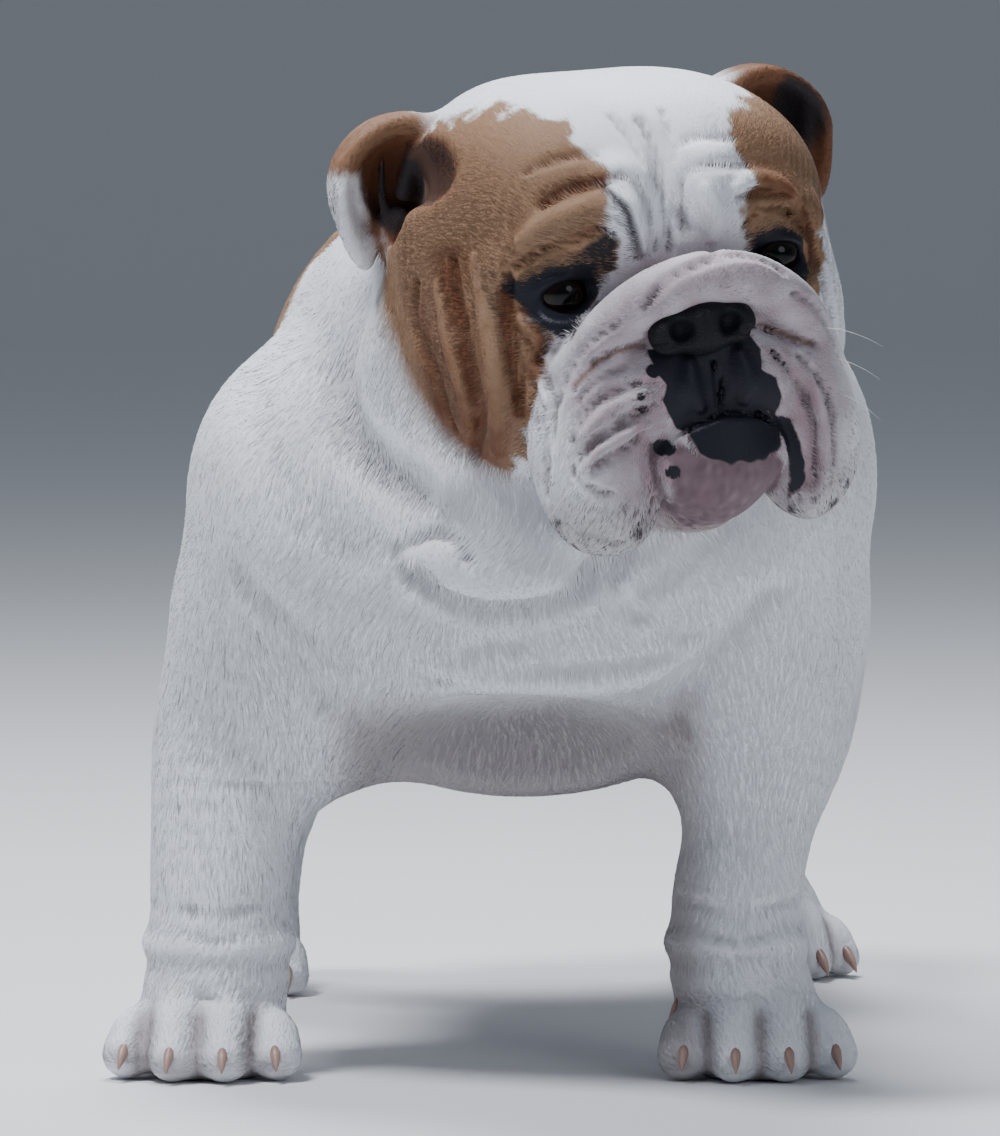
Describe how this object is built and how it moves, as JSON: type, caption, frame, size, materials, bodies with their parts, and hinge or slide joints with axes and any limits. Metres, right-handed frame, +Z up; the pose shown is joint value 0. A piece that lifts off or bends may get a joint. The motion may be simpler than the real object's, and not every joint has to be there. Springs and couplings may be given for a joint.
{
  "type": "english bulldog figure",
  "caption": "Life-size adult bulldog standing on four legs, head turned to its left, with a wrinkled face, an undershot jaw, rose ears and a short white and fawn coat.",
  "frame": {"origin": "centre of the bounding box's footprint, at the floor under the paws", "axes": "+Z up, the dog faces -Y with its head turned toward +X, so +X is the dog's left side and +Y runs back to the tail"},
  "size_m": [0.3404, 0.6268, 0.4318],
  "materials": {
    "white_coat": "short smooth white fur, with fawn patches on the face and one flank",
    "fawn_coat": "short smooth fawn to dark brown fur",
    "nose_leather": "black, finely pebbled, slightly moist",
    "eyeball": "wet, very dark brown"
  },
  "bodies": {
    "root": {"head": "white_coat", "lower_jaw": "white_coat", "nose": "nose_leather", "eye_left": "eyeball", "eye_right": "eyeball", "ear_left": "fawn_coat", "ear_right": "fawn_coat", "neck": "white_coat", "torso": "white_coat", "tail": "white_coat", "front_leg_left": "white_coat", "front_leg_right": "white_coat", "front_paw_left": "white_coat", "front_paw_right": "white_coat", "hind_leg_left": "white_coat", "hind_leg_right": "white_coat", "hind_paw_left": "white_coat", "hind_paw_right": "white_coat"}
  },
  "joints": []
}
